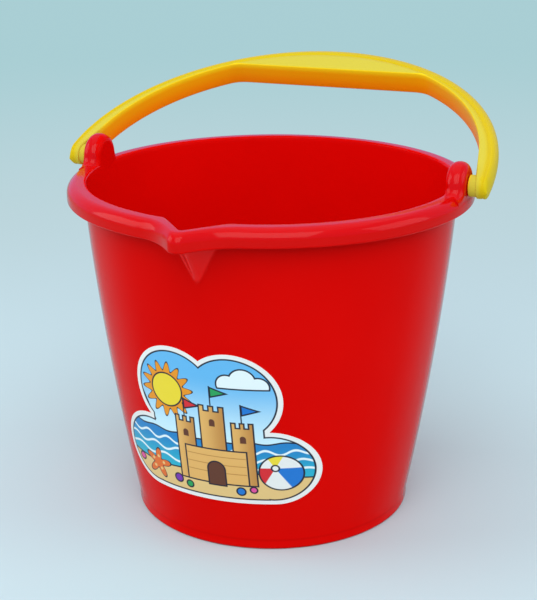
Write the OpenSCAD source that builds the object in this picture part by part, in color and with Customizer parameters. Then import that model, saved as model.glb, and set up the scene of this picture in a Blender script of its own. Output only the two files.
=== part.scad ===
// Child's sand bucket: tapered bucket with a turned-down rim, a pouring spout, two ears and a swinging handle.
// Frame: origin at the middle of the foot, on the table. +Z is up, the handle's axis lies along X,
// and the spout points towards -Y. Millimetres.

/* [Bucket] */
// Height from the table to the top of the rim
bucket_h = 153; // [130:1:190]
// Outside diameter of the wall where it meets the rim
wall_top_d = 166; // [150:1:190]
// Outside diameter of the foot
foot_d = 126.5; // [110:0.5:140]
// How far the wall bellies out past a straight taper
wall_belly = 2; // [0:0.1:4]
// Thickness of the wall
wall_t = 1.9; // [1.5:0.1:2.6]
// Thickness of the floor
floor_t = 2.2; // [1.6:0.1:3.2]
// Height of the upright band at the foot
foot_h = 4.5; // [3.6:0.1:7]
// Width of the ring that the bucket stands on
foot_w = 3.2; // [2.4:0.1:5]
// Depth of the hollow under the floor
foot_hollow = 2.4; // [1:0.1:4]
// Rounding of the foot's outer edge
foot_round = 1.4; // [0.6:0.1:2]
// Rounding inside, between the wall and the floor
floor_round = 5; // [2:0.5:9]

/* [Rim] */
// How far the rim stands out from the wall
rim_overhang = 7.5; // [6:0.1:10]
// Height of the rim's outer face
rim_h = 7.4; // [6:0.1:12]
// Thickness of the rim's top and skirt
rim_t = 2; // [1.5:0.1:2.4]
// Rounding of the rim's outer top edge
rim_round = 3.4; // [2:0.1:4]
// Rounding of the mouth's inner edge
mouth_round = 1.2; // [0.6:0.1:1.6]
// Rounding of the skirt's lower edge
skirt_round = 0.9; // [0.4:0.1:1.2]

/* [Spout] */
// Width of the spout between its shoulders, at the rim's outer edge
spout_w = 28; // [20:1:36]
// How far a sharp tip would stand out from the round rim
spout_reach = 15; // [10:0.5:18]
// How far the spout's channel runs down the wall from the rim's top
spout_drop = 26; // [20:1:36]
// Rounding of the spout's ridge
ridge_round = 2.4; // [1.2:0.1:3]

/* [Ears] */
// Height of the pivot above the rim's top
pivot_up = 2.7; // [2.5:0.1:6]
// Radius of the ear's round top, about the pivot
ear_r = 10; // [8:0.5:13]
// Thickness of an ear
ear_t = 9.1; // [8.6:0.1:9.6]
// How far the ear's outer face lies inside the rim's outer edge
ear_inset = 0.3; // [0.2:0.1:1]
// Rounding of the ear's edges
ear_round = 4.1; // [2:0.1:4.2]
// Fillet between the ear's sides and the rim
ear_fillet = 4; // [2:0.5:6]
// Depth of the blind socket for the pin
socket_depth = 5; // [3:0.5:5.5]

/* [Handle] */
// How far the handle leans back from upright
lean = 70; // [0:1:84]
// Radius of the pivot pins
pin_r = 2.3; // [1.5:0.1:2.4]
// Radial clearance of a pin in its socket
pin_fit = 0.06; // [0.02:0.01:0.1]
// Gap between the end of a pin and the bottom of its socket
pin_end_gap = 0.5; // [0.3:0.1:1]
// Bevel on the tip of a pin, which leads it into its socket
pin_lead = 0.6; // [0.3:0.1:1]
// Radius of the boss round a pin
boss_r = 4.7; // [3:0.1:4.9]
// Gap between an ear and the boss
side_gap = 0.35; // [0.3:0.05:0.6]
// Gap between the rim's outer edge and an arm
arm_gap = 0.5; // [0.3:0.1:2]
// Width of the arms and the grip
arm_w = 11.4; // [10:0.1:15]
// Depth of the arms, from the inner face to the crown
arm_t = 8.3; // [6:0.1:11]
// Height above the pivot below which the arms run straight and spread
leg_from = 20; // [14:1:30]
// How far below the pivot the flat sides' round outline has its centre
web_drop = 2.5; // [1:0.1:3]
// Depth of the flat sides at the top of the arch
top_side = 1; // [0.8:0.1:2]
// How far the arch's centre lies above the pivot
arch_rise = 4; // [2:0.5:10]
// Depth of the grip at the middle of the handle
grip_t = 20.8; // [14:0.1:24]

/* [Label] */
// Height of the label's middle
label_z = 60; // [50:1:80]
// Turn of the label's middle from the spout, towards +X
label_turn = -2; // [-30:1:30]
// Half the distance between the middles of the lower lobes
label_half = 28; // [20:1:30]
// Radius of the lower lobes
label_low_r = 18; // [12:1:20]
// Half the distance between the middles of the higher lobes
label_top_x = 13; // [8:1:17]
// Height of the higher lobes' middles above the label's middle
label_top_y = 15; // [6:1:18]
// Radius of the higher lobes
label_top_r = 21; // [15:1:22]
// Thickness of the label
label_t = 0.25; // [0.15:0.05:0.4]
// Thickness of the glue under the label
glue_t = 0.05; // [0.03:0.01:0.1]

/* [Hidden] */
$fn = 180;
eps = 0.5;

wall_steps = 16;
arc_steps = 4;

rim_under = bucket_h - rim_h;
rim_r = wall_top_d / 2 + rim_overhang;
plate_under = bucket_h - rim_t;
mouth_r = wall_r(bucket_h) - wall_t;
floor_z = foot_hollow + floor_t;
pivot_z = bucket_h + pivot_up;
ear_out = rim_r - ear_inset;
ear_in = ear_out - ear_t;
// Sideways reach of the tools that shape the spout
spout_span = 2 * spout_reach;
// How far surfaces are set past each other where the spout's pieces meet
lap = 0.2;
// Share of the round rim's roundings that the spout's lip keeps
lip_ease = 0.9;

// Slope of the spout's legs in plan, and their angle from the X axis
leg_slope = (spout_reach + rim_r - sqrt(rim_r * rim_r - spout_w * spout_w / 4)) / (spout_w / 2);
leg_turn = atan(leg_slope);
spout_low = bucket_h - spout_drop;
// Lean of the spout's channel from upright
channel_run = wall_r(bucket_h) + spout_reach - wall_r(spout_low);
channel_lean = atan(channel_run / spout_drop);

// How far the handle's crown is set in from its sides, and how far it runs past half a turn
crown_set_in = 0.2;
crown_past = 10;
// Half of the angle that the label's film is cut from
label_reach = 60;

arm_in = rim_r + arm_gap;
arch_r = sqrt(arm_in * arm_in + arch_rise * arch_rise);
grip_h = arch_rise + arch_r + arm_t - grip_t;
// Outline of the flat sides, and the arms' straight inner faces: at their upper ends, their spread, and at the pivot
web_r = web_drop + arch_rise + arch_r + top_side;
leg_x = sqrt(arch_r * arch_r - (leg_from - arch_rise) * (leg_from - arch_rise)) - lap;
leg_spread = (leg_from - arch_rise) / leg_x;
leg_in = leg_x + leg_spread * leg_from;

// Outside radius of the wall at height z
function wall_r(z) =
    let (t = (z - foot_h) / (rim_under - foot_h))
    foot_d / 2 + (wall_top_d - foot_d) / 2 * t + 4 * wall_belly * t * (1 - t);

// Points of an arc about c, from angle a to angle b
function arc(c, r, a, b, steps = arc_steps) =
    [for (i = [0:steps]) let (w = a + (b - a) * i / steps) c + r * [cos(w), sin(w)]];

// Heights at which the wall's outline has its points, between two heights
function levels(low, high, steps) = [for (i = [0:steps]) low + (high - low) * i / steps];

// Outside of the wall from the foot up, then over the rim
function outer_outline() = concat(
    [for (z = levels(foot_h, rim_under, wall_steps)) [wall_r(z), z]],
    [[wall_r(plate_under), plate_under], [rim_r - rim_t, plate_under], [rim_r - rim_t, rim_under]],
    arc([rim_r - skirt_round, rim_under + skirt_round], skirt_round, -90, 0),
    arc([rim_r - rim_round, bucket_h - rim_round], rim_round, 0, 90)
);

// Mouth, inside of the wall from the rim down, and the floor
function inner_outline() = concat(
    arc([mouth_r + mouth_round, bucket_h - mouth_round], mouth_round, 90, 180),
    [for (z = levels(rim_under, floor_z + floor_round, wall_steps)) [wall_r(z) - wall_t, z]],
    arc([wall_r(floor_z + floor_round) - wall_t - floor_round, floor_z + floor_round], floor_round, 0, -90),
    [[0, floor_z]]
);

// Hollow under the floor, the foot's ring and the upright band above it
function foot_outline() = concat(
    [[0, foot_hollow], [foot_d / 2 - foot_w, foot_hollow], [foot_d / 2 - foot_w, 0]],
    arc([foot_d / 2 - foot_round, foot_round], foot_round, -90, 0)
);

// Bucket turned as one profile
module turned_shell() {
    rotate_extrude()
        polygon(concat(outer_outline(), inner_outline(), foot_outline()));
}

// V with a rounded tip, its sharp tip on the origin and its legs rising towards +Y
function vee(slope, r) =
    let (b = atan(1 / slope))
    concat(
        [[-spout_span, slope * spout_span]],
        arc([0, r / sin(b)], r, 180 + b, 360 - b),
        [[spout_span, slope * spout_span]]
    );

// Leaning V-shaped prism whose sharp ridge leaves the wall at the spout's lower end, moved back by d
module channel(d, r) {
    translate([0, d - wall_r(spout_low), spout_low])
        rotate([channel_lean, 0, 0])
            translate([0, 0, -spout_span / 2])
                linear_extrude(2 * spout_span)
                    polygon(vee(leg_slope * cos(channel_lean), r));
}

// Outer faces of the spout's channel, outside the round wall and up into the rim's top
module channel_wall() {
    heights = levels(spout_low - spout_drop, bucket_h, wall_steps);
    difference() {
        intersection() {
            channel(0, ridge_round);
            translate([-spout_span, -2 * rim_r, spout_low - spout_drop / 2])
                cube([2 * spout_span, 2 * rim_r, spout_drop * 1.5 - rim_t / 2]);
        }
        rotate_extrude()
            polygon(concat([for (z = heights) [wall_r(z) - lap, z]], [[0, bucket_h], [0, spout_low - spout_drop]]));
    }
}

// Section of the rim's top and skirt along the spout, a little tighter in its roundings than the round rim
function lip_section() =
    let (low = skirt_round * lip_ease, high = rim_round * lip_ease)
    concat(
        [[mouth_r, plate_under], [rim_r - rim_t, plate_under], [rim_r - rim_t, rim_under]],
        arc([rim_r - low, rim_under + low], low, -90, 0, arc_steps + 1),
        arc([rim_r - high, bucket_h - high], high, 0, 90, arc_steps + 1),
        [[mouth_r, bucket_h]]
    );

// Rim along the spout's +X leg, mitred at the middle and ending inside the round rim
module rim_leg() {
    difference() {
        intersection() {
            translate([0, -spout_reach, 0])
                rotate([0, 0, leg_turn])
                    rotate([90, 0, 90])
                        translate([0, 0, -rim_r])
                            linear_extrude(rim_r - mouth_r * sin(leg_turn) + spout_span)
                                polygon([for (p = lip_section()) [-p[0] * cos(leg_turn), p[1]]]);
            translate([0, -2 * rim_r, 0])
                cube([2 * rim_r, 2 * rim_r, 2 * bucket_h]);
        }
        cylinder(r = rim_r - rim_round - lap, h = 2 * bucket_h);
    }
}

// Rim round the spout, with the mitre's outer edge rounded
module rim_lip() {
    tip = rim_r + spout_reach;
    difference() {
        union() {
            rim_leg();
            mirror([1, 0, 0])
                rim_leg();
        }
        translate([0, 0, rim_under - eps])
            linear_extrude(rim_h + 2 * eps)
                difference() {
                    translate([-ridge_round, -tip - ridge_round])
                        square([2 * ridge_round, 3 * ridge_round]);
                    translate([0, -tip - lap / 4])
                        polygon(vee(leg_slope, ridge_round));
                }
    }
}

// Space between the skirt and the wall, carried round the spout
module skirt_space() {
    difference() {
        translate([0, rim_t / 2 - rim_r - spout_reach, rim_under - eps])
            linear_extrude(plate_under - rim_under + eps)
                polygon(vee(leg_slope, ridge_round));
        cylinder(r = rim_r - rim_t - eps, h = bucket_h);
    }
}

// Round puck of radius r on the X axis from x = low to x = high, with rounded edges
module puck(r, low, high, edge) {
    outline = concat([[0, low]], arc([r - edge, low + edge], edge, -90, 0), arc([r - edge, high - edge], edge, 0, 90),
        [[0, high]]);
    rotate([0, 90, 0])
        rotate_extrude()
            polygon(outline);
}

// Foot of an ear on the rim, with a hollow fillet on both sides
module ear_foot() {
    half = ear_r + ear_fillet;
    top = bucket_h + ear_fillet;
    translate([ear_in + ear_round / 2, 0, 0])
        rotate([90, 0, 90])
            linear_extrude(ear_t - ear_round)
                difference() {
                    translate([-half, plate_under + eps])
                        square([2 * half, top - plate_under - eps]);
                    for (side = [-1, 1])
                        translate([side * half, top])
                            circle(ear_fillet);
                }
}

// Ear on the +X side
module ear() {
    translate([0, 0, pivot_z])
        puck(ear_r, ear_in, ear_out, ear_round);
    ear_foot();
}

// Blind socket for the handle's pin, in the +X ear
module socket() {
    translate([ear_out - socket_depth, 0, pivot_z])
        rotate([0, 90, 0])
            cylinder(r = pin_r + pin_fit, h = socket_depth + ear_inset + eps);
}

module bucket_body() {
    color("#d00401")
        difference() {
            union() {
                difference() {
                    turned_shell();
                    skirt_space();
                }
                rim_lip();
                channel_wall();
                ear();
                mirror([1, 0, 0])
                    ear();
            }
            channel(wall_t / cos(leg_turn), ridge_round - lap);
            socket();
            mirror([1, 0, 0])
                socket();
        }
}

// Arch's flat web: a crescent that is deepest at the arm ends, straight legs, and the straight-bottomed grip
module web_outline() {
    difference() {
        translate([0, -web_drop])
            circle(web_r);
        polygon([
            [-leg_x, leg_from],
            [leg_x, leg_from],
            [leg_in + leg_spread * arm_w, -arm_w],
            [-leg_in - leg_spread * arm_w, -arm_w]
        ]);
        difference() {
            translate([0, arch_rise])
                circle(arch_r);
            translate([-arm_in, grip_h])
                square([2 * arm_in, 2 * arch_r]);
        }
        translate([-2 * arm_in, -4 * arm_in])
            square([4 * arm_in, 4 * arm_in - arm_w / 2]);
    }
}

// Rounded crown on the outside of the arch, half an ellipse in section
module crown() {
    low = arch_r + top_side / 2;
    high = arch_r + arm_t;
    half = arm_w / 2 - crown_set_in;
    outline = [for (a = levels(-90, 90, 4 * arc_steps)) [low + (high - low) * cos(a), half * sin(a)]];
    translate([0, 0, arch_rise])
        rotate([90, 0, 0])
            rotate_extrude(angle = 180 + 2 * crown_past, start = -crown_past)
                polygon(outline);
}

// Space that the handle keeps to: everything above the pivot, and round ends about it
module arm_bounds() {
    wide = 3 * arm_in;
    translate([-wide / 2, -arm_w, 0])
        cube([wide, 2 * arm_w, wide]);
    rotate([0, 90, 0])
        cylinder(r = arm_w / 2, h = wide, center = true);
}

// Pin and boss on the +X arm
module pivot_pin() {
    tip = ear_out - socket_depth + pin_end_gap;
    rotate([0, 90, 0]) {
        translate([0, 0, tip])
            cylinder(r1 = pin_r - pin_lead, r2 = pin_r, h = pin_lead);
        translate([0, 0, tip + pin_lead])
            cylinder(r = pin_r, h = leg_in + eps - tip - pin_lead);
        translate([0, 0, ear_out + side_gap])
            cylinder(r = boss_r, h = leg_in + eps - ear_out - side_gap);
    }
}

// Handle upright, with the pivot axis along X through the origin
module upright_handle() {
    intersection() {
        union() {
            rotate([90, 0, 0])
                linear_extrude(arm_w, center = true)
                    web_outline();
            crown();
        }
        arm_bounds();
    }
    pivot_pin();
    mirror([1, 0, 0])
        pivot_pin();
}

module bail_handle() {
    color("#e2c400")
        translate([0, 0, pivot_z])
            rotate([-lean, 0, 0])
                upright_handle();
}

// Cut outline of the label: two lower lobes, two higher ones and a straight foot
module label_outline() {
    translate([-label_half, -2 * label_low_r])
        square([2 * label_half, 2 * label_low_r + label_top_y / 2]);
    for (side = [-1, 1]) {
        translate([side * label_half, -label_low_r])
            circle(label_low_r);
        translate([side * label_top_x, label_top_y])
            circle(label_top_r);
    }
}

module picture_label() {
    heights = levels(foot_h, rim_under, wall_steps);
    inner = [for (z = heights) [wall_r(z) + glue_t, z]];
    outer = [for (i = [wall_steps:-1:0]) [wall_r(heights[i]) + glue_t + label_t, heights[i]]];
    color("#f4efe4")
        rotate([0, 0, label_turn])
            intersection() {
                rotate_extrude(angle = 2 * label_reach, start = -90 - label_reach)
                    polygon(concat(inner, outer));
                translate([0, 0, label_z])
                    rotate([90, 0, 0])
                        linear_extrude(wall_top_d)
                            label_outline();
            }
}

bucket_body();
bail_handle();
picture_label();
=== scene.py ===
import math

import bmesh
import bpy
from mathutils import Matrix, Vector


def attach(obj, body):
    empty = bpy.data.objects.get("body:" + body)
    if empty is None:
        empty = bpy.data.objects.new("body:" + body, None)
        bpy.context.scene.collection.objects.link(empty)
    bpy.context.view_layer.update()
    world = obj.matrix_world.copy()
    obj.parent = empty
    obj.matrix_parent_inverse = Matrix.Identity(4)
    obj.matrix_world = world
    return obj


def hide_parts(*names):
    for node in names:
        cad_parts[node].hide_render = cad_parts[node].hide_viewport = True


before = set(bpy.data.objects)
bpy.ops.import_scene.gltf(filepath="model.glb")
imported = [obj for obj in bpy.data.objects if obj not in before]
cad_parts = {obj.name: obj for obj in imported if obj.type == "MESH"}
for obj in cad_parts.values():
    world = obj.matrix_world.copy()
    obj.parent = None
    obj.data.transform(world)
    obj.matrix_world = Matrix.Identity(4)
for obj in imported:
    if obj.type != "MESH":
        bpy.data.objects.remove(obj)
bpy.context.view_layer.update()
mm = 0.001
print("frame loaded:", ", ".join(sorted(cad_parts)))


# shader sums written as plain expressions
class Wire:
    def __init__(self, tree, socket):
        self.tree = tree
        self.socket = socket

    def node(self, kind, settings, sockets, out=0):
        made = self.tree.nodes.new(kind)
        for name, value in settings.items():
            setattr(made, name, value)
        for name, value in sockets.items():
            if isinstance(value, Wire):
                self.tree.links.new(value.socket, made.inputs[name])
            else:
                made.inputs[name].default_value = value
        return Wire(self.tree, made.outputs[out])

    def math(self, operation, *values, clamp=False):
        settings = {"operation": operation, "use_clamp": clamp}
        return self.node("ShaderNodeMath", settings, dict(enumerate(values)))

    def __add__(self, other):
        return self.math("ADD", self, other)

    __radd__ = __add__

    def __sub__(self, other):
        return self.math("SUBTRACT", self, other)

    def __rsub__(self, other):
        return self.math("SUBTRACT", other, self)

    def __mul__(self, other):
        return self.math("MULTIPLY", self, other)

    __rmul__ = __mul__

    def __truediv__(self, other):
        return self.math("DIVIDE", self, other)

    def __rtruediv__(self, other):
        return self.math("DIVIDE", other, self)

    def __pow__(self, other):
        return self.math("POWER", self, other)

    def __abs__(self):
        return self.math("ABSOLUTE", self)

    def least(self, other):
        return self.math("MINIMUM", self, other)

    def most(self, other):
        return self.math("MAXIMUM", self, other)

    def wave(self):
        return self.math("SINE", self)

    def ramp(self, low, high):
        sockets = {"Value": self, "From Min": low, "From Max": high}
        return self.node("ShaderNodeMapRange", {"interpolation_type": "SMOOTHSTEP"}, sockets)

    def blend(self, under, over):
        return self.node("ShaderNodeMix", {"data_type": "RGBA"}, {0: self, 6: under, 7: over}, 2)

    def noise(self, scale, detail, roughness=0.5):
        sockets = {"Vector": self, "Scale": scale, "Detail": detail, "Roughness": roughness}
        return self.node("ShaderNodeTexNoise", {}, sockets)

    def stretch(self, x, y, z):
        return self.node("ShaderNodeVectorMath", {"operation": "MULTIPLY"}, {0: self, 1: (x, y, z)})

    def parts(self):
        split = self.node("ShaderNodeSeparateXYZ", {}, {0: self}).socket.node
        return [Wire(self.tree, output) for output in split.outputs]


# a Principled material with its constants set, and the Object coordinates to paint it by
def newFinish(name, constants):
    material = bpy.data.materials.new(name)
    material.use_nodes = True
    tree = material.node_tree
    shader = tree.nodes["Principled BSDF"]
    for socket, value in constants.items():
        shader.inputs[socket].default_value = value
    place = Wire(tree, tree.nodes.new("ShaderNodeTexCoord").outputs["Object"])
    return material, shader, place


def feed(shader, socket, wire):
    wire.tree.links.new(wire.socket, shader.inputs[socket])


def bump(height, strength, distance):
    sockets = {"Strength": strength, "Distance": distance, "Height": height}
    return height.node("ShaderNodeBump", {}, sockets)


# moulded red polypropylene: faint colour clouds, a fine skin, rubbed foot and rim, glossier rim and lip;
# painted shade on the rim's outer face and in the crease above the foot, and a painted reflection under the
# pouring lip
redMould = {
    "colour": (0.72, 0.0016, 0.0006, 1),
    "deep": (0.67, 0.0012, 0.0006, 1),
    "rubbed": (0.74, 0.010, 0.008, 1),
    # painted shade: the rim's outer face darker than the wall
    "rim": (0.61, 0.0014, 0.0006, 1),
    # painted reflection: the tongue under the pouring lip lighter, as the pale floor reflects in it
    "lip": (0.88, 0.003, 0.002, 1),
    # painted shade: a darker line in the crease above the foot
    "footCreaseShade": (0.64, 0.0012, 0.0005, 1),
    "rough": 0.2,
    "roughSpread": 0.1,
    "rubRough": 0.25,
    "specular": 0.025,
    "coatRough": 0.07,
    "sheenFrom": (0.4, 0.68),
    "sheen": 0.17,
    "edgeFrom": (0.74, 0.96),
    "edge": 0.64,
    "rimGloss": 0.25,
    "lipGloss": 0.28,
    "clouds": (11, 3),
    "cloudFrom": (0.3, 0.7),
    "skin": (900, 2),
    "flow": (160, 3),
    "flowAlong": 0.12,
    "marks": (420, 5, 0.7),
    "marksAlong": 0.35,
    "markFrom": (0.6, 0.74),
    "outsideFrom": (-0.9 * mm, -0.3 * mm),
    "rimFrom": (145.2 * mm, 146.6 * mm),
    "lipOut": (0.1 * mm, 0.7 * mm),
    "lipFrom": (110 * mm, 120 * mm),
    "lipTo": (144 * mm, 145 * mm),
    "lineFrom": (3.7 * mm, 4.4 * mm),
    "lineTo": (4.6 * mm, 5.6 * mm),
    "footRub": (0, 9 * mm),
    "rimRub": (151.5 * mm, 155.5 * mm),
    "rubShares": (0.3, 0.12, 0.04),
    "bumpShares": (0.35, 0.65),
    "bump": (0.12, 0.0003),
}


def makeRed():
    s, shell = redMould, bucketShape
    constants = {"Specular IOR Level": s["specular"], "Coat Roughness": s["coatRough"]}
    material, shader, place = newFinish("redMould", constants)
    clouds = place.noise(*s["clouds"]).ramp(*s["cloudFrom"])
    skin = place.noise(*s["skin"])
    flow = place.stretch(1, 1, s["flowAlong"]).noise(*s["flow"])
    marks = place.stretch(1, 1, s["marksAlong"]).noise(*s["marks"]).ramp(*s["markFrom"])

    # the bucket's own outline tells wall, rim, lip and foot apart
    x, y, height = place.parts()
    rise = (height - shell["wallLow"] * mm) * (1 / ((shell["wallTop"] - shell["wallLow"]) * mm))
    wall = (shell["footRadius"] + rise * (shell["flare"] + (1 - rise) * shell["belly"])) * mm
    proud = (x * x + y * y) ** 0.5 - wall
    outside = proud.ramp(*s["outsideFrom"])
    # the rim's outer face: painted shade in its colour, and a glossier coat
    rimSide = outside * height.ramp(*s["rimFrom"])
    # the tongue under the pouring lip: a painted reflection in its colour, and a glossier coat
    lip = proud.ramp(*s["lipOut"]) * height.ramp(*s["lipFrom"]) * (1 - height.ramp(*s["lipTo"]))
    # painted shade along the crease above the foot
    footCreaseShade = outside * height.ramp(*s["lineFrom"]) * (1 - height.ramp(*s["lineTo"]))
    footShare, rimShare, wallShare = s["rubShares"]
    foot = 1 - height.ramp(*s["footRub"])
    rub = marks * (foot * footShare + height.ramp(*s["rimRub"]) * rimShare + wallShare)

    colour = clouds.blend(s["deep"], s["colour"])
    # painted shade on the rim and in the foot crease, a painted reflection under the lip, then real rub
    # marks
    for mask, name in ((rimSide, "rim"), (lip, "lip"), (footCreaseShade, "footCreaseShade"), (rub, "rubbed")):
        colour = mask.blend(colour, s[name])
    facing = place.node("ShaderNodeLayerWeight", {}, {"Blend": 0.5}, 1)
    turned = facing.ramp(*s["sheenFrom"]) * s["sheen"] + facing.ramp(*s["edgeFrom"]) * s["edge"]
    dull = 1 - lip * s["lipGloss"] - rimSide * s["rimGloss"]
    skinShare, flowShare = s["bumpShares"]
    feed(shader, "Base Color", colour)
    feed(shader, "Coat Weight", 1 - (1 - turned) * dull)
    feed(shader, "Roughness", s["rough"] + s["roughSpread"] * clouds * flow + rub * s["rubRough"])
    feed(shader, "Normal", bump(skin * skinShare + flow * flowShare, *s["bump"]))
    return material


# moulded yellow polypropylene: a satin skin, flat sides painted paler as a highlight, and an inner face
# painted orange as red bounce light and shade from the bucket below it
yellowMould = {
    "colour": (0.66, 0.50, 0.007, 1),
    "deep": (0.64, 0.46, 0.004, 1),
    "rubbed": (0.69, 0.54, 0.04, 1),
    # painted highlight: the flat sides paler than the crown
    "lens": (0.63, 0.53, 0.045, 1),
    # painted red bounce light and shade on the inner face, from deepest at its lower edge to palest at its
    # top corner
    "paintedRedBounce": (0.92, 0.40, 0.003, 1),
    "paintedRedBounceLow": (0.93, 0.27, 0.002, 1),
    "paintedRedBounceHigh": (0.92, 0.66, 0.01, 1),
    "rough": 0.3,
    "roughSpread": 0.12,
    "markRough": 0.1,
    "specular": 0.06,
    "clouds": (14, 3),
    "cloudFrom": (0.3, 0.7),
    "skin": (1100, 2),
    "flow": (120, 2),
    "marks": (500, 5, 0.7),
    "markFrom": (0.62, 0.76),
    "markShare": 0.3,
    "along": 0.3,
    "lensAt": (-3.2 * mm, -0.6 * mm),
    "lowAt": (-4 * mm, 2 * mm),
    "highAt": (1.8 * mm, 5 * mm),
    "paintedBounceAt": (0.05 * mm, 0.5 * mm),
    "bumpShares": (0.4, 0.6),
    "bump": (0.12, 0.0003),
}


def makeYellow():
    s, arch = yellowMould, handleShape
    material, shader, place = newFinish("yellowMould", {"Specular IOR Level": s["specular"]})
    clouds = place.noise(*s["clouds"]).ramp(*s["cloudFrom"])
    skin = place.noise(*s["skin"])
    flow = place.stretch(s["along"], 1, 1).noise(*s["flow"])
    marks = place.stretch(s["along"], 1, 1).noise(*s["marks"]).ramp(*s["markFrom"])

    # the handle's own plane: up from the arch's middle, and across from side to side
    x, y, z = place.parts()
    lean, level = math.radians(arch["lean"]), z - arch["pivot"] * mm
    up = y * math.sin(lean) + level * math.cos(lean) - arch["rise"] * mm
    across = level * math.sin(lean) - y * math.cos(lean)
    depth = ((x * x + up * up) ** 0.5 - arch["inner"] * mm).most(up - arch["gripChord"] * mm)
    crown = (x * x + (up + arch["webDrop"] * mm) ** 2) ** 0.5 - arch["webRadius"] * mm
    # painted highlight: the flat sides paler than the crown, which turns away from the light
    outside = crown.ramp(*s["lensAt"]).blend(s["lens"], clouds.blend(s["deep"], s["colour"]))
    # painted red bounce light and shade on the inner face, deepest at its lower edge
    inside = across.ramp(*s["lowAt"]).blend(s["paintedRedBounceLow"], s["paintedRedBounce"])
    inside = across.ramp(*s["highAt"]).blend(inside, s["paintedRedBounceHigh"])
    colour = depth.ramp(*s["paintedBounceAt"]).blend(inside, outside)

    skinShare, flowShare = s["bumpShares"]
    feed(shader, "Base Color", (marks * s["markShare"]).blend(colour, s["rubbed"]))
    feed(shader, "Roughness", s["rough"] + s["roughSpread"] * clouds + marks * s["markRough"])
    feed(shader, "Normal", bump(skin * skinShare + flow * flowShare, *s["bump"]))
    return material


# printed film: a seaside picture in millimetres about the label's middle
# a disc is x, y, radius; a slab x, y, half width, half height; a burst x, y, radius, swing, points, turn
beachPrint = {
    "middle": 60,
    "turn": -2,
    "lowLobe": (28, -18, 18),
    "topLobe": (13, 15, 21),
    "square": (0, -14.25, 28, 21.75),
    "border": 1.9,
    "keyline": 0.7,
    "edge": 0.22,
    "paper": (0.84, 0.84, 0.82, 1),
    "ink": (0.012, 0.012, 0.03, 1),
    "skyHigh": (0.13, 0.47, 0.83, 1),
    "skyLow": (0.62, 0.86, 0.95, 1),
    "seaFar": (0.015, 0.22, 0.56, 1),
    "seaNear": (0.02, 0.44, 0.60, 1),
    "foam": (0.80, 0.90, 0.92, 1),
    "sand": (0.80, 0.55, 0.22, 1),
    "castle": (0.80, 0.45, 0.13, 1),
    "castleShade": (0.56, 0.26, 0.06, 1),
    "door": (0.13, 0.04, 0.02, 1),
    "sun": (0.87, 0.68, 0.03, 1),
    "rays": (0.84, 0.30, 0.01, 1),
    "star": (0.80, 0.16, 0.02, 1),
    "starDots": (0.87, 0.55, 0.20, 1),
    "red": (0.70, 0.02, 0.03, 1),
    "green": (0.02, 0.36, 0.10, 1),
    "blue": (0.01, 0.18, 0.62, 1),
    "purple": (0.19, 0.03, 0.42, 1),
    "pink": (0.78, 0.08, 0.33, 1),
    "yellow": (0.87, 0.70, 0.04, 1),
    "skyFrom": (-8, 26),
    "rayBurst": (-17, 15, 11.2, 2.1, 14, 0),
    "sunDisc": (-17, 15, 7.8),
    "puffs": ((12, 22, 4.6), (18.5, 24, 5.6), (25, 21.5, 4.4)),
    "puffsLow": 20.2,
    "seaFrom": (-24, -6),
    "seaTop": -5.5,
    "swellPace": 0.42,
    "swellRise": 0.5,
    "crests": ((-10.0, 0.55, 0.0), (-14.5, 0.47, 2.0), (-19.0, 0.4, 4.2)),
    "crestRise": 1.1,
    "crestHalf": 0.55,
    "sail": ((-30.8, -1.6), (-25.4, -1.6), (-30.8, 10)),
    "sandTop": -22,
    "dunePace": 0.075,
    "duneShift": 0.6,
    "duneRise": 1.8,
    "poles": ((-9, 12.5, "red"), (4, 20.0, "green"), (17, 12.5, "blue")),
    "poleDrop": 4,
    "poleHalf": (0.3, 4.6),
    "flagLong": 7.4,
    "flagHigh": 4.6,
    "towers": ((-9, 4.6, 4), (17, 4.6, 4), (4, 5.6, 11)),
    "towerLow": -27,
    "notchShare": 0.4,
    "notchShift": 3,
    "notchDeep": 2.4,
    "windowDrop": (7.5, 8.6),
    "windowHalf": (1.3, 1.1),
    "castleWall": (4, -18.5, 14, 8.5),
    "joints": (-13.5, -17.5, -21.5),
    "jointHalf": (13.4, 0.22),
    "doorArch": (4, -20, 4),
    "doorFoot": (4, -24, 4, 4),
    "starfish": (-27, -24.5, 5.2, 2.3, 5, 0.6),
    "dotsAt": 3.2,
    "dotSize": 0.75,
    "ball": (31, -20, 8.6),
    "ballCap": (29, -17.6, 1.5),
    "panels": ("red", "paper", "blue", "paper", "yellow", "paper"),
    "panelEdge": 0.05,
    "pebbles": (
        (-15.5, -28.6, 2.1, "purple"), (-9.8, -30.2, 1.7, "green"), (-37.8, -25.6, 1.8, "pink"),
        (14.2, -30.0, 1.9, "blue"), (19.6, -28.9, 1.5, "pink"),
    ),
    "specular": 0.35,
    "rough": 0.26,
    "roughSpread": 0.12,
    "wear": (700, 3),
    "bump": (0.05, 0.0002),
}


def disc(u, v, x, y, r):
    return ((u - x) ** 2 + (v - y) ** 2) ** 0.5 - r


def slab(u, v, x, y, halfX, halfY):
    return (abs(u - x) - halfX).most(abs(v - y) - halfY)


# the side of a line from a to b, positive to its right
def beside(u, v, a, b):
    dx, dy = b[0] - a[0], b[1] - a[1]
    size = math.hypot(dx, dy)
    return (u - a[0]) * (dy / size) - (v - a[1]) * (dx / size)


def wedge(u, v, corners):
    a, b, c = corners
    return beside(u, v, a, b).most(beside(u, v, b, c)).most(beside(u, v, c, a))


def bearing(u, v, x, y):
    return u.math("ARCTAN2", v - y, u - x)


def burst(u, v, x, y, r, swing, points, turn):
    reach = r + swing * (bearing(u, v, x, y) * points + turn).wave()
    return disc(u, v, x, y, 0) - reach


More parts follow.
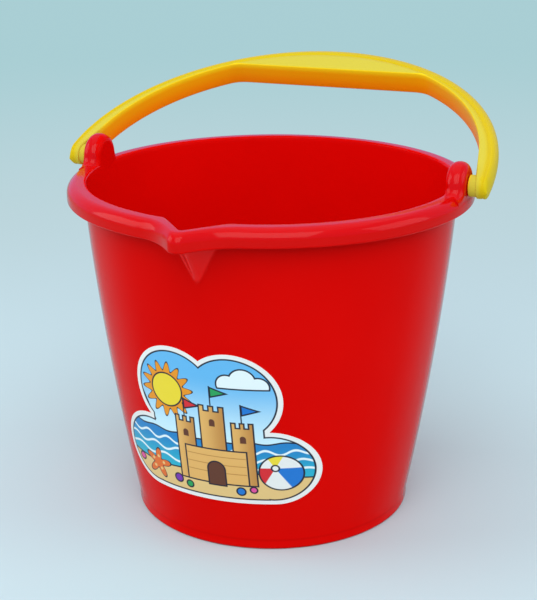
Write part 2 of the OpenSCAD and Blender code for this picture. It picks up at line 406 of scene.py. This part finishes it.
def makePrint():
    s = beachPrint
    material, shader, place = newFinish("beachPrint", {"Specular IOR Level": s["specular"]})
    x, y, z = place.parts()
    turn = math.radians(s["turn"])
    u = (x * math.cos(turn) + y * math.sin(turn)) / mm
    v = z / mm - s["middle"]

    def inside(d, soft=s["edge"]):
        return d.math("MULTIPLY_ADD", d, -1 / soft, 0.5, clamp=True)

    def paint(under, d, colour, line=s["keyline"]):
        inked = inside(d - line / 2).blend(under, s["ink"]) if line else under
        return inside(d + line / 2).blend(inked, colour)

    sky = v.ramp(*s["skyFrom"]).blend(s["skyLow"], s["skyHigh"])
    picture = paint(sky, burst(u, v, *s["rayBurst"]), s["rays"])
    picture = paint(picture, disc(u, v, *s["sunDisc"]), s["sun"])
    left, middle, right = (disc(u, v, *puff) for puff in s["puffs"])
    cloud = left.least(middle).least(right).most(s["puffsLow"] - v)
    picture = paint(picture, cloud, s["foam"])

    sea = v - s["seaTop"] - (u * s["swellPace"]).wave() * s["swellRise"]
    water = v.ramp(*s["seaFrom"]).blend(s["seaNear"], s["seaFar"])
    picture = paint(picture, sea, water)
    for level, pace, shift in s["crests"]:
        crest = abs(v - level - (u * pace + shift).wave() * s["crestRise"]) - s["crestHalf"]
        picture = paint(picture, crest, s["foam"], 0)

    # of the sail only the inked edge shows, beside the border
    picture = paint(picture, wedge(u, v, s["sail"]), s["pink"])
    dune = v - s["sandTop"] - (u * s["dunePace"] + s["duneShift"]).wave() * s["duneRise"]
    picture = paint(picture, dune, s["sand"])

    # castle: poles and pennants first, then towers, the wall, and its openings
    for poleX, top, ink in s["poles"]:
        pole = slab(u, v, poleX, top - s["poleDrop"], *s["poleHalf"])
        picture = paint(picture, pole, s["ink"], 0)
        near, low = poleX + s["poleHalf"][0], top - s["flagHigh"]
        flag = wedge(u, v, ((near, top), (near, low), (poleX + s["flagLong"], (top + low) / 2)))
        picture = paint(picture, flag, s[ink])
    archDrop, footDrop = s["windowDrop"]
    windowX, windowY = s["windowHalf"]
    for towerX, half, top in s["towers"]:
        low, step = s["towerLow"], half * s["notchShare"]
        across = u.math("PINGPONG", u - towerX + s["notchShift"] * step, step)
        notch = (step / 2 - across).least(v - top + s["notchDeep"])
        body = slab(u, v, towerX, (top + low) / 2, half, (top - low) / 2).most(notch)
        shade = (u - towerX).ramp(-half, half).blend(s["castle"], s["castleShade"])
        picture = paint(picture, body, shade)
        window = disc(u, v, towerX, top - archDrop, windowX)
        window = window.least(slab(u, v, towerX, top - footDrop, windowX, windowY))
        picture = paint(picture, window, s["door"], 0)
    picture = paint(picture, slab(u, v, *s["castleWall"]), s["castle"])
    for row in s["joints"]:
        joint = slab(u, v, s["castleWall"][0], row, *s["jointHalf"])
        picture = paint(picture, joint, s["castleShade"], 0)
    door = disc(u, v, *s["doorArch"]).least(slab(u, v, *s["doorFoot"]))
    picture = paint(picture, door, s["door"])

    picture = paint(picture, burst(u, v, *s["starfish"]), s["star"])
    starX, starY = s["starfish"][:2]
    arms, lag = s["starfish"][-2:]
    for k in range(arms):
        a = (math.pi / 2 - lag + k * math.tau) / arms
        dotX, dotY = starX + s["dotsAt"] * math.cos(a), starY + s["dotsAt"] * math.sin(a)
        picture = paint(picture, disc(u, v, dotX, dotY, s["dotSize"]), s["starDots"], 0)

    # ball: panels about a cap off its middle
    count = len(s["panels"])
    panel = bearing(u, v, *s["ballCap"][:2]) * (count / math.tau) + count / 2
    panels = s[s["panels"][0]]
    for k in range(1, count):
        panels = inside(k - panel, s["panelEdge"]).blend(panels, s[s["panels"][k]])
    picture = paint(picture, disc(u, v, *s["ball"]), panels)
    picture = paint(picture, disc(u, v, *s["ballCap"]), s["paper"])
    for *pebble, ink in s["pebbles"]:
        picture = paint(picture, disc(u, v, *pebble), s[ink])

    outline = slab(u, v, *s["square"])
    for lobe in ("lowLobe", "topLobe"):
        outline = outline.least(disc(abs(u), v, *s[lobe]))
    picture = inside(-1 * outline - s["border"] - s["keyline"]).blend(picture, s["ink"])
    picture = inside(-1 * outline - s["border"]).blend(picture, s["paper"])
    wear = place.noise(*s["wear"])
    feed(shader, "Base Color", picture)
    feed(shader, "Roughness", s["rough"] + s["roughSpread"] * wear)
    feed(shader, "Normal", bump(wear, *s["bump"]))
    return material


def roundPoints(centre, radius, start, end, steps):
    turns = [math.radians(start + (end - start) * i / steps) for i in range(steps + 1)]
    return [(centre[0] + radius * math.cos(a), centre[1] + radius * math.sin(a)) for a in turns]


def spread(low, high, steps):
    return [low + (high - low) * i / steps for i in range(steps + 1)]


# distances in metres, the crease in degrees
meshCare = {"merge": 2e-6, "sliver": 1e-7, "crease": 40}


def addPiece(name, bm, body, node, finish):
    bmesh.ops.remove_doubles(bm, verts=bm.verts, dist=meshCare["merge"])
    bmesh.ops.dissolve_degenerate(bm, edges=bm.edges, dist=meshCare["sliver"])
    bmesh.ops.recalc_face_normals(bm, faces=bm.faces)
    mesh = bpy.data.meshes.new(name)
    bm.to_mesh(mesh)
    bm.free()
    mesh.shade_smooth()
    mesh.set_sharp_from_angle(angle=math.radians(meshCare["crease"]))
    mesh.materials.append(finish)
    piece = bpy.data.objects.new(name, mesh)
    bpy.context.scene.collection.objects.link(piece)
    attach(piece, body)
    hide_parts(node)
    print("piece:", name, len(mesh.polygons), "faces")


# a chain of vertices joined by edges
def chain(bm, points, closed=False):
    verts = [bm.verts.new(p) for p in points]
    pairs = list(zip(verts, verts[1:])) + ([(verts[-1], verts[0])] if closed else [])
    return verts, [bm.edges.new(pair) for pair in pairs]


# extrudes a row of edges along x and gives back the new row
def extend(bm, edges, along):
    made = bmesh.ops.extrude_edge_only(bm, edges=edges)["geom"]
    moved = {g for g in made if isinstance(g, bmesh.types.BMVert)}
    bmesh.ops.translate(bm, verts=list(moved), vec=(along, 0, 0))
    return [g for g in made if isinstance(g, bmesh.types.BMEdge) and moved.issuperset(g.verts)]


# sizes in millimetres; the finely divided front is frontHalf degrees to each side
bucketShape = {
    "height": 153, "footRadius": 63.25, "flare": 19.75, "belly": 8, "wallLow": 4.5, "wallTop": 145.6,
    "wall": 1.9, "floor": 4.6, "floorRound": 5, "hollow": 2.4, "footIn": 60.05, "footRound": 1.4,
    "hollowRound": 0.8, "footEdge": 0.5,
    "rimOut": 90.5, "rimIn": 88.5, "plateUnder": 151, "skirtLow": 145, "rimRound": 4.6,
    "mouthRound": 1.2, "skirtRound": 0.9, "skirtEdge": 0.4, "rootRound": 0.9,
    "underRows": (0, 15, 30, 45), "floorRows": (42, 28, 14, 0),
    "fineFrom": 118, "outerNext": 118.7, "innerNext": 117, "innerTop": 151.2,
    "coarseSteps": 26, "outerSteps": 46, "innerSteps": 50,
    "plateRow": 1.2, "skirtRows": (149, 147, 3), "rimRow": 147.4, "topGaps": (0.5, 0.8), "topSteps": 3,
    "lipReach": 15, "lipSlope": 1.15, "lipSoft": 7.5, "tipRound": 4.6, "channelRound": 2.4,
    "channelLow": 125.4, "channelLean": 0.665, "channelSoft": 1.6, "channelSet": 2.9,
    "lipLow": 112, "lipFront": 40, "lipHalf": 40, "innerSide": 0.5, "outerSide": 1.1, "plateSlack": 0.01,
    "frontHalf": 19, "frontSteps": 130, "backSteps": 214,
}
earShape = {
    "radius": 10, "pivot": 155.7, "inner": 81.4, "outer": 90.2, "round": 4.1, "fillet": 4, "low": 146.2,
    "proud": 0.15, "sunk": 0.7, "sunkBelow": 149.5, "inset": 0.08, "socket": 2.36, "socketDepth": 5,
    "roundSteps": 9, "filletSteps": 10, "archSteps": 22, "socketSteps": 48,
}


def wallRadius(z):
    s = bucketShape
    t = (z - s["wallLow"]) / (s["wallTop"] - s["wallLow"])
    return s["footRadius"] + s["flare"] * t + s["belly"] * t * (1 - t)


# half section of the bucket, from the middle of its underside round to the middle of its floor
def bucketSection():
    s = bucketShape
    top, root, under = s["height"], s["rootRound"], s["plateUnder"]
    heel, edge = s["hollowRound"], s["footEdge"]
    out = [(r, s["hollow"]) for r in s["underRows"]]
    out += roundPoints((s["footIn"] - heel, s["hollow"] - heel), heel, 90, 0, 4)
    out += roundPoints((s["footIn"] + edge, edge), edge, 180, 270, 4)
    out += roundPoints((s["footRadius"] - s["footRound"], s["footRound"]), s["footRound"], -90, 0, 8)
    rows = spread(s["wallLow"], s["fineFrom"], s["coarseSteps"])
    rows += spread(s["outerNext"], under - root, s["outerSteps"])
    out += [(wallRadius(z), z) for z in rows]
    rootX = wallRadius(under - root) + root
    out += roundPoints((rootX, under - root), root, 180, 90, 6)[1:]
    out += [(rootX + s["plateRow"], under)]
    out += roundPoints((s["rimIn"] - root, under - root), root, 90, 0, 6)
    out += [(s["rimIn"], z) for z in spread(*s["skirtRows"])]
    edge, skirt = s["skirtEdge"], s["skirtRound"]
    out += roundPoints((s["rimIn"] + edge, s["skirtLow"] + edge), edge, 180, 270, 4)
    out += roundPoints((s["rimOut"] - skirt, s["skirtLow"] + skirt), skirt, -90, 0, 7)
    out += [(s["rimOut"], s["rimRow"])]
    shoulder = s["rimOut"] - s["rimRound"]
    out += roundPoints((shoulder, top - s["rimRound"]), s["rimRound"], 0, 90, 14)
    mouth = wallRadius(top) - s["wall"] + s["mouthRound"]
    outGap, inGap = s["topGaps"]
    out += [(r, top) for r in spread(shoulder - outGap, mouth + inGap, s["topSteps"])]
    out += roundPoints((mouth, top - s["mouthRound"]), s["mouthRound"], 90, 180, 8)
    floorTop = s["floor"] + s["floorRound"]
    rows = spread(s["innerTop"], s["fineFrom"], s["innerSteps"])
    rows += spread(s["innerNext"], floorTop, s["coarseSteps"])[1:]
    out += [(wallRadius(z) - s["wall"], z) for z in rows]
    floorX = wallRadius(floorTop) - s["wall"] - s["floorRound"]
    out += roundPoints((floorX, floorTop), s["floorRound"], 0, -90, 10)[1:]
    return out + [(r, s["floor"]) for r in s["floorRows"]]


# the greater of two distances, rounded over where they cross
def softMost(a, b, soft):
    near = max(soft - abs(a - b), 0) / soft
    return max(a, b) + near * near * soft / 4


# how far the lip's two flanks fall back from their sharp tip, with the tip rounded over
def fallBack(x, radius):
    slope = bucketShape["lipSlope"]
    steep = math.hypot(1, slope)
    if abs(x) > radius * slope / steep:
        return slope * abs(x)
    return radius * steep - math.sqrt(radius ** 2 - x ** 2)


# how far forward the pouring lip carries a point of the turned shell
def lipForward(x, r, z, ahead):
    s = bucketShape
    wall = wallRadius(z)
    channel = wallRadius(s["channelLow"]) + s["channelLean"] * (z - s["channelLow"])
    channel -= fallBack(x, s["channelRound"])
    if r < wall - s["innerSide"]:
        return softMost(ahead, channel - s["channelSet"] + r - wall + s["wall"], s["channelSoft"])
    if r < wall + s["outerSide"] and z < s["plateUnder"] + s["plateSlack"]:
        return softMost(ahead, channel + r - wall, s["channelSoft"])
    return softMost(ahead, r + s["lipReach"] - fallBack(x, s["tipRound"]), s["lipSoft"])


def pullLip(bm):
    s = bucketShape
    for v in bm.verts:
        x, y, z = (c / mm for c in v.co)
        if z > s["lipLow"] and -y > s["lipFront"] and abs(x) < s["lipHalf"]:
            v.co.y = -lipForward(x, math.hypot(x, y), z, -y) * mm


# an ear's outline in y and z, drawn in by the inset, with hollow fillets at its foot
def earOutline(inset):
    s, top = earShape, bucketShape["height"]
    rise = top + s["fillet"] - s["pivot"]
    footY = math.sqrt((s["radius"] + s["fillet"]) ** 2 - rise ** 2)
    touch = math.degrees(math.atan2(rise, footY))
    half = [(y, s["low"]) for y in (0, footY / 2, footY)]
    half += roundPoints((footY, top + s["fillet"]), s["fillet"] + inset, 270, 180 + touch, s["filletSteps"])
    half += roundPoints((0, s["pivot"]), s["radius"] - inset, touch, 90, s["archSteps"])[1:]
    return half + [(-y, z) for y, z in half[-2:0:-1]]


# how far the ear's inner and outer faces may go in and out at one place
def earLimits(y, z):
    s, b = earShape, bucketShape
    inside = wallRadius(min(z, b["height"])) - b["wall"]
    inside += s["sunk"] if z < s["sunkBelow"] else -s["proud"]
    return math.sqrt(inside ** 2 - y ** 2), math.sqrt((b["rimOut"] - s["inset"]) ** 2 - y ** 2)


# both ears: a ring of numbered points extruded across, then laid on the rounded outlines
def addEar(bm):
    s = earShape
    turns = [math.pi / 2 * i / s["roundSteps"] for i in range(s["roundSteps"] + 1)]
    rows = [(s["inner"] + s["round"] * (1 - math.cos(a)), s["round"] * (1 - math.sin(a))) for a in turns]
    rows += [(s["inner"] + s["outer"] - x, inset) for x, inset in reversed(rows)]
    outlines = [earOutline(inset) for x, inset in rows]
    ear = bmesh.new()
    first = chain(ear, [(0, k * mm, 0) for k in range(len(outlines[0]))], True)[1]
    last = first
    for row in rows[1:]:
        last = extend(ear, last, mm)
    for v in ear.verts:
        row, k = round(v.co.x / mm), round(v.co.y / mm)
        y, z = outlines[row][k]
        low, high = earLimits(y, z)
        v.co = Vector((min(max(rows[row][0], low), high), y, z)) * mm
    bmesh.ops.contextual_create(ear, geom=first)
    where = Matrix.Translation((s["outer"] * mm, 0, s["pivot"] * mm)) @ Matrix.Rotation(math.pi / 2, 4, "Y")
    size = {"segments": s["socketSteps"], "radius": s["socket"] * mm}
    ring = bmesh.ops.create_circle(ear, matrix=where, **size)["verts"]
    ringEdges = list(dict.fromkeys(e for v in ring for e in v.link_edges))
    bmesh.ops.bridge_loops(ear, edges=last + ringEdges)
    bmesh.ops.contextual_create(ear, geom=extend(ear, ringEdges, -s["socketDepth"] * mm))
    bmesh.ops.mirror(ear, geom=list(ear.verts) + list(ear.edges) + list(ear.faces), axis="X", merge_dist=0)
    bmesh.ops.recalc_face_normals(ear, faces=ear.faces)
    mesh = bpy.data.meshes.new("earTabs")
    ear.to_mesh(mesh)
    ear.free()
    bm.from_mesh(mesh)
    bpy.data.meshes.remove(mesh)


def makeBucket():
    s = bucketShape
    bm = bmesh.new()
    start = math.radians(-s["frontHalf"])
    section = [(r * math.sin(start) * mm, -r * math.cos(start) * mm, z * mm) for r, z in bucketSection()]
    verts, edges = chain(bm, section)
    axis = {"cent": (0, 0, 0), "axis": (0, 0, 1), "dvec": (0, 0, 0), "use_merge": False}
    front = math.radians(2 * s["frontHalf"])
    swept = bmesh.ops.spin(bm, geom=verts + edges, angle=front, steps=s["frontSteps"], **axis)["geom_last"]
    bmesh.ops.spin(bm, geom=swept, angle=math.tau - front, steps=s["backSteps"], **axis)
    bmesh.ops.remove_doubles(bm, verts=bm.verts, dist=meshCare["merge"])
    pullLip(bm)
    addEar(bm)
    addPiece("bucketBody", bm, "bucket", "bucket_body", redFinish)


# sizes in millimetres, turns in degrees
handleShape = {
    "pivot": 155.7, "lean": 70, "rise": 4, "inner": 91.09, "outer": 99.37, "half": 5.35, "crownHalf": 5.3,
    "valleyWide": 1.7, "valleySlope": 0.2, "valleyShare": 0.6,
    "webRadius": 97.4, "webDrop": 5.2, "legTurn": 10.1, "gripChord": 77.8, "gripSoft": 2.6,
    "leastSine": 0.2, "cornerRound": 0.7, "endFrom": -2.5, "endTo": -6.1, "rowBase": 50,
    "cornerRows": 4, "sideRows": 4, "valleyRows": 6, "crownRows": 16, "endSteps": 12, "archSteps": 330,
    "bossRadius": 4.7, "bossFrom": 90.55, "pinRadius": 2.3, "pinFrom": 85.7, "pinLead": 0.6, "pinTo": 94.5,
    "bossFillet": 0.3, "bossRound": 0.4, "pinSteps": 48,
}


# the section's half width and distance from the arch's middle at one row, for a turn about that middle
def handleRow(row, turn, scale):
    s = handleShape
    leg = math.radians(s["legTurn"])
    inner = s["inner"] / math.cos(max(leg - turn, 0))
    inner = -softMost(-inner, -s["gripChord"] / max(math.sin(turn), s["leastSine"]), s["gripSoft"])
    drop = s["webDrop"]
    web = math.sqrt(s["webRadius"] ** 2 - (drop * math.cos(turn)) ** 2) - drop * math.sin(turn)
    corner = s["cornerRound"]
    wide = min(s["valleyWide"], (web - inner - corner) * s["valleyShare"])
    if row <= s["cornerRows"]:
        a = math.pi / 2 * row / s["cornerRows"]
        return (s["half"] - corner + corner * math.sin(a)) * scale, inner + corner * (1 - math.cos(a))
    row -= s["cornerRows"]
    if row <= s["sideRows"]:
        return s["half"] * scale, inner + corner + (web - wide - inner - corner) * row / s["sideRows"]
    row -= s["sideRows"]
    if row <= s["valleyRows"]:
        part = row / s["valleyRows"]
        dip = wide * s["valleySlope"] * (1 - math.cos(math.tau * part)) / 2
        return (s["half"] + (s["crownHalf"] - s["half"]) * part - dip) * scale, web - wide * (1 - part)
    a = math.pi / 2 * (row - s["valleyRows"]) / s["crownRows"]
    return s["crownHalf"] * math.cos(a) * scale, web + (s["outer"] - web) * math.sin(a)


# the spun blank carries its row number as distance and its side as y; this gives each vertex its place
def shapeHandle(bm):
    s = handleShape
    for v in bm.verts:
        x, side, z = v.co.x / mm, v.co.y / mm, v.co.z / mm - s["rise"]
        row = round(math.hypot(x, z)) - s["rowBase"]
        turn = math.atan2(z, abs(x))
        past = s["endFrom"] - math.degrees(turn)
        if past > 0:
            part = min(past / (s["endFrom"] - s["endTo"]), 1)
            level = -s["half"] * math.sin(part * math.pi / 2)
            tilt = math.atan2(level - s["rise"], s["inner"])
            half, reach = handleRow(row, tilt, math.cos(part * math.pi / 2))
            reachX = math.sqrt(reach ** 2 - (level - s["rise"]) ** 2)
        else:
            half, reach = handleRow(row, turn, 1)
            reachX, level = reach * math.cos(turn), reach * math.sin(turn) + s["rise"]
        v.co = Vector((math.copysign(reachX, x), side * half, level)) * mm


def addPins(bm):
    s = handleShape
    pin, lead = s["pinRadius"], s["pinLead"]
    boss, fillet, edge = s["bossFrom"], s["bossFillet"], s["bossRound"]
    points = [(s["pinFrom"], 0), (s["pinFrom"], pin - lead), (s["pinFrom"] + lead, pin)]
    points += [(boss - fillet, pin), (boss, pin + fillet)]
    points += roundPoints((boss + edge, s["bossRadius"] - edge), edge, 180, 90, 5)
    points += [(s["pinTo"], s["bossRadius"]), (s["pinTo"], 0)]
    sweep = {"cent": (0, 0, 0), "axis": (1, 0, 0), "angle": math.tau, "use_merge": True}
    for side in (-1, 1):
        verts, edges = chain(bm, [(side * x * mm, 0, r * mm) for x, r in points])
        bmesh.ops.spin(bm, geom=verts + edges, steps=s["pinSteps"], **sweep)


def makeHandle():
    s = handleShape
    bm = bmesh.new()
    last = s["cornerRows"] + s["sideRows"] + s["valleyRows"] + s["crownRows"]
    outline = [(0, -0.5), (0, 0), (0, 0.5)] + [(row, 1) for row in range(last)]
    outline += [(last, 0)] + [(row, -1) for row in range(last - 1, -1, -1)]
    begin = math.radians(s["endTo"])
    points = []
    for row, side in outline:
        reach = s["rowBase"] + row
        level = reach * math.sin(begin) + s["rise"]
        points.append((reach * math.cos(begin) * mm, side * mm, level * mm))
    verts, edges = chain(bm, points, True)
    geom = verts + edges
    endTurn = math.radians(s["endFrom"] - s["endTo"])
    archTurn = math.pi - 2 * math.radians(s["endFrom"])
    axis = {"cent": (0, 0, s["rise"] * mm), "axis": (0, -1, 0), "use_merge": False}
    for angle, steps in ((endTurn, s["endSteps"]), (archTurn, s["archSteps"]), (endTurn, s["endSteps"])):
        geom = bmesh.ops.spin(bm, geom=geom, angle=angle, steps=steps, **axis)["geom_last"]
    shapeHandle(bm)
    addPins(bm)
    place = Matrix.Translation((0, 0, s["pivot"] * mm)) @ Matrix.Rotation(math.radians(-s["lean"]), 4, "X")
    bmesh.ops.transform(bm, matrix=place, verts=bm.verts)
    addPiece("bailHandle", bm, "handle", "bail_handle", yellowFinish)


redFinish = makeRed()
yellowFinish = makeYellow()
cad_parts["picture_label"].material_slots[0].material = makePrint()
print("finishes: red, yellow, print")
makeBucket()
makeHandle()


# pale floor, lights and camera
floorLook = {
    "radius": 7, "near": (0.53, 0.68, 0.73, 1), "far": (0.40, 0.62, 0.66, 1),
    "fade": (0.2, 1.4), "glowFrom": (0.15, 0.6), "glossShare": 0.7,
    "specular": 0.2, "rough": 0.7, "segments": 96,
}
lights = {
    "frontSoft": {"place": (0.33, -1.04, 1.12), "size": 1.3, "watts": 13.5},
    "topSoft": {"place": (-0.1, 0.25, 1.45), "size": 1.5, "watts": 3},
    "leftSoft": {"place": (-1.2, -0.4, 0.7), "size": 0.9, "watts": 6},
    "rightSoft": {"place": (1.3, 0.15, 0.7), "size": 0.9, "watts": 4},
}
lightAim = (0, 0, 0.09)
worldLook = {
    "fill": (0.92, 0.97, 1.0, 1), "fillLevel": 0.6,
    "seen": (0.42, 0.65, 0.69, 1), "gloss": (0.40, 0.48, 0.90, 1),
}
cameraLook = {
    "target": (0, 0, 0.072), "azimuth": 21.5, "elevation": 20.33, "distance": 0.6714,
    "focalPixels": 1448, "imageHigh": 600, "aim": (-3.3, 45.3), "roll": -0.464, "sensor": 36,
    "clipStart": 0.02,
}


# whether the camera or a reflection is looking
def seenBy(wire, *kinds):
    rays = wire.node("ShaderNodeLightPath", {}, {}).socket.node
    return [Wire(wire.tree, rays.outputs[f"Is {kind} Ray"]) for kind in kinds]


def makeFloor():
    s = floorLook
    bm = bmesh.new()
    bmesh.ops.create_circle(bm, cap_ends=True, segments=s["segments"], radius=s["radius"])
    mesh = bpy.data.meshes.new("paleFloor")
    bm.to_mesh(mesh)
    bm.free()
    constants = {"Specular IOR Level": s["specular"], "Roughness": s["rough"]}
    material, shader, place = newFinish("palePaper", constants)
    x, y, z = place.parts()
    away = (x * x + y * y) ** 0.5
    camera, glossy = seenBy(away, "Camera", "Glossy")
    level = 1 - glossy * (1 - s["glossShare"])
    tone = away.ramp(*s["fade"]).blend(s["near"], s["far"])
    tone = level.blend((0, 0, 0, 1), tone)
    feed(shader, "Base Color", tone)
    glow = tone.node("ShaderNodeEmission", {}, {"Color": tone})
    lit = Wire(place.tree, shader.outputs[0])
    both = {0: away.ramp(*s["glowFrom"]) * camera.most(glossy), 1: lit, 2: glow}
    mixed = tone.node("ShaderNodeMixShader", {}, both)
    feed(place.tree.nodes["Material Output"], "Surface", mixed)
    mesh.materials.append(material)
    floor = bpy.data.objects.new("paleFloor", mesh)
    bpy.context.scene.collection.objects.link(floor)


def makeLights():
    for name, s in lights.items():
        lamp = bpy.data.lights.new(name, "AREA")
        lamp.size = s["size"]
        lamp.energy = s["watts"]
        holder = bpy.data.objects.new(name, lamp)
        holder.location = s["place"]
        holder.rotation_euler = (Vector(lightAim) - Vector(s["place"])).to_track_quat("-Z", "Y").to_euler()
        bpy.context.scene.collection.objects.link(holder)
    world = bpy.data.worlds.new("studio")
    world.use_nodes = True
    tree = world.node_tree
    fill = Wire(tree, tree.nodes["Background"].outputs[0])
    fill.socket.node.inputs["Color"].default_value = worldLook["fill"]
    fill.socket.node.inputs["Strength"].default_value = worldLook["fillLevel"]
    mixed = fill
    for look, ray in zip(("gloss", "seen"), seenBy(fill, "Glossy", "Camera")):
        pale = fill.node("ShaderNodeBackground", {}, {"Color": worldLook[look], "Strength": 1.0})
        mixed = fill.node("ShaderNodeMixShader", {}, {0: ray, 1: mixed, 2: pale})
    feed(tree.nodes["World Output"], "Surface", mixed)
    bpy.context.scene.world = world


def makeCamera():
    s = cameraLook
    a, e = math.radians(s["azimuth"]), math.radians(s["elevation"])
    back = Vector((math.sin(a) * math.cos(e), -math.cos(a) * math.cos(e), math.sin(e)))
    right = Vector((math.cos(a), math.sin(a), 0))
    up = back.cross(right)
    look = -s["focalPixels"] * back + s["aim"][0] * right + s["aim"][1] * up
    camera = bpy.data.cameras.new("photoView")
    camera.sensor_width = s["sensor"]
    camera.lens = s["focalPixels"] * s["sensor"] / s["imageHigh"]
    camera.clip_start = s["clipStart"]
    holder = bpy.data.objects.new("photoView", camera)
    turn = look.to_track_quat("-Z", "Y").to_matrix().to_4x4()
    roll = Matrix.Rotation(math.radians(s["roll"]), 4, "Z")
    holder.matrix_world = Matrix.Translation(Vector(s["target"]) + s["distance"] * back) @ turn @ roll
    bpy.context.scene.collection.objects.link(holder)
    bpy.context.scene.camera = holder


makeFloor()
makeLights()
makeCamera()
bpy.context.scene.view_settings.view_transform = "Standard"
print("stage: floor, lights, camera")
